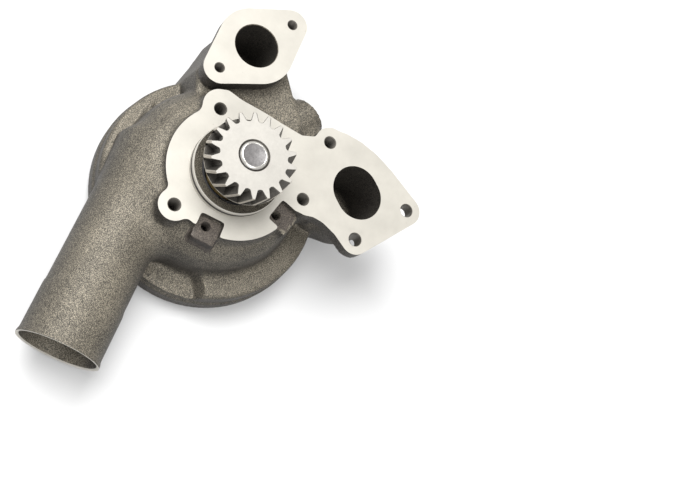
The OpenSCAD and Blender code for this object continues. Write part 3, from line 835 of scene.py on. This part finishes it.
def build_gear():
    """Helical teeth in turned layers, with chamfered ends, a bored hub and the thin disc behind."""
    low = GEAR_BACK + GEAR_DISC_T
    layers = [(low, 0.0)] + [(h, 0.0) for h in np.linspace(low + 2, GEAR_TOP - 0.45, 10)]
    layers.append((GEAR_TOP, GEAR_CHAMFER))
    verts, faces = [], []
    n = len(tooth_outline())
    for h, shift in layers:
        turn = math.degrees((h - GEAR_TOP) * math.tan(math.radians(HELIX)) / (TIP_R - 2.8))
        c, s = math.cos(math.radians(turn)), math.sin(math.radians(turn))
        for px, py in tooth_outline(shift):
            verts.append((px * c - py * s, px * s + py * c, h))
    for k in range(len(layers) - 1):
        for i in range(n):
            a, b = k * n + i, k * n + (i + 1) % n
            faces.append((a, b, b + n, a + n))
    outline = tooth_outline(GEAR_CHAMFER)
    angles = np.unwrap(np.arctan2(outline[:, 1], outline[:, 0]))
    even = np.linspace(angles[0], angles[0] + 2 * math.pi, n, endpoint=False)
    start = (len(layers) - 1) * n
    first, bore = 22.5, GEAR_SEAT_R + 0.05
    for r, h in ((first, GEAR_TOP), (GEAR_SEAT_R + 1.3, GEAR_TOP), (bore, GEAR_TOP - 1.2), (bore, GEAR_BACK),
                 (TIP_R - 1.2, GEAR_BACK), (TIP_R - 0.4, GEAR_BACK + 0.6), (TIP_R - 0.4, low)):
        for a in (angles if r == first else even):
            verts.append((r * math.cos(a), r * math.sin(a), h))
        for i in range(n):
            j = (i + 1) % n
            top = len(verts) - n
            faces.append((start + i, start + j, top + j, top + i))
        start = len(verts) - n
    for i in range(n):
        j = (i + 1) % n
        faces.append((start + i, start + j, j, i))
    gear = new_object("gear_wheel", np.array(verts) * MM, faces)
    tidy_mesh(gear)
    for name in ("gear", "gear_face", "gear_tip"):
        gear.data.materials.append(MATERIALS[name])
    for p in gear.data.polygons:
        r = math.hypot(p.center.x, p.center.y)
        face = p.normal.z > 0.9 and p.center.z > (GEAR_TOP - 0.1) * MM and r < (TIP_R - 0.2) * MM
        p.material_index = 1 if face else 2 if r > (TIP_R - 0.5) * MM else 0
        p.use_smooth = True
    gear.data.set_sharp_from_angle(angle=math.radians(28))
    return gear


def build_shaft():
    """The shaft, turned, with a bright chamfer round its rough end."""
    profile = [(0, SHAFT_BOTTOM), (TAIL_R - 1, SHAFT_BOTTOM), (TAIL_R, SHAFT_BOTTOM + 1), (TAIL_R, TAIL_TOP),
               (JOURNAL_R, TAIL_TOP), (JOURNAL_R, GEAR_BACK), (GEAR_SEAT_R, GEAR_BACK),
               (GEAR_SEAT_R, SHAFT_TOP - 1.4),
               (GEAR_SEAT_R - 0.2, SHAFT_TOP - 1.0), (GEAR_SEAT_R - 1.3, SHAFT_TOP - 0.1),
               (GEAR_SEAT_R - 1.7, SHAFT_TOP), (GEAR_SEAT_R - 2.0, SHAFT_TOP - 0.2), (0, SHAFT_TOP - 0.2)]
    shaft = lathe("turned_shaft", profile, 128)
    for name in ("shaft", "shaft_edge"):
        shaft.data.materials.append(MATERIALS[name])
    for p in shaft.data.polygons:
        r = math.hypot(p.center.x, p.center.y)
        p.material_index = 1 if p.center.z > (SHAFT_TOP - 1.5) * MM and r > (GEAR_SEAT_R - 2.0) * MM else 0
        p.use_smooth = True
    shaft.data.set_sharp_from_angle(angle=math.radians(35))
    return shaft


def build_cover():
    """Pressed plug: flat middle with a round dimple, a raised bead, and a rough band out to its rim."""
    outer = [(0, -74.9), (13.2, -74.9), (14.4, -75.0), (15.4, -75.4), (16.2, -76.0), (17, -76.15), (40, -76.0),
             (56.2, -76.0), (57.0, -76.35), (57.9, -76.8), (58.8, -76.7), (59.6, -75.6), (60.6, -74.6),
             (62.0, -74.4), (63.2, -75.4), (63.7, -77.6), (64.3, -78.4), (65.4, -78.4), (65.9, -77.9)]
    inner = [(65.9, -72.1), (61, -72.1), (57.5, -73.4), (16.5, -73.5), (14, -72.6), (0, -72.6)]
    cover = lathe("rear_plug", outer + inner, 160)
    mesh = cover.data
    for name in ("cover", "cover_rim"):
        mesh.materials.append(MATERIALS[name])
    for p in mesh.polygons:
        p.material_index = 1 if math.hypot(p.center.x, p.center.y) > 0.0592 else 0
        p.use_smooth = True
    mesh.set_sharp_from_angle(angle=math.radians(40))
    return cover


# ---------------------------------------------------------------- floor, light and camera
def build_stage():
    z, h = -DEPTH * MM - 0.0002, FLOOR_HALF
    floor = new_object("floor", [(-h, -h, z), (h, -h, z), (h, h, z), (-h, h, z)], [(0, 1, 2, 3)])
    shader = Shader("floor", 0.0, 0.7)
    floor.data.materials.append(shader.finish((FLOOR_TONE, FLOOR_TONE, FLOOR_TONE, 1)))


def add_light(name, place, size, power):
    """A round soft light that points at the origin."""
    lamp = bpy.data.lights.new(name, "AREA")
    lamp.shape, lamp.size, lamp.energy = "DISK", size, power
    obj = bpy.data.objects.new(name, lamp)
    bpy.context.scene.collection.objects.link(obj)
    obj.location = place
    obj.rotation_euler = (Vector((0, 0, 0)) - Vector(place)).to_track_quat("-Z", "Y").to_euler()


def build_world():
    world = bpy.data.worlds.new("studio")
    world.use_nodes = True
    background = world.node_tree.nodes["Background"]
    background.inputs["Color"].default_value = (1, 1, 1, 1)
    background.inputs["Strength"].default_value = WORLD_STRENGTH
    bpy.context.scene.world = world


def build_camera():
    cam = bpy.data.cameras.new("camera")
    cam.lens, cam.sensor_width = CAMERA_LENS, CAMERA_SENSOR
    cam.clip_start, cam.clip_end = 0.05, 20
    obj = bpy.data.objects.new("camera", cam)
    bpy.context.scene.collection.objects.link(obj)
    forward = Vector(CAMERA_LOOK).normalized()
    level = forward.cross(Vector((0, 0, 1))).normalized()
    above = level.cross(forward)
    roll = math.radians(CAMERA_ROLL)
    right = level * math.cos(roll) + above * math.sin(roll)
    up = right.cross(forward)
    turn = Matrix((right, up, -forward)).transposed()
    obj.matrix_world = Matrix.Translation(CAMERA_AT) @ turn.to_4x4()
    bpy.context.scene.camera = obj


paint_nodes()
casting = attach(build_casting(), "housing")
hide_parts("pump_body")
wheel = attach(build_gear(), "rotor")
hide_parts("drive_gear")
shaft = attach(build_shaft(), "rotor")
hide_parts("pump_shaft")
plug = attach(build_cover(), "housing")
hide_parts("rear_cover")

build_stage()
build_camera()
build_world()
for light, (place, size, power) in LIGHTS.items():
    add_light(light, place, size, power)
bpy.context.scene.view_settings.view_transform = "Standard"
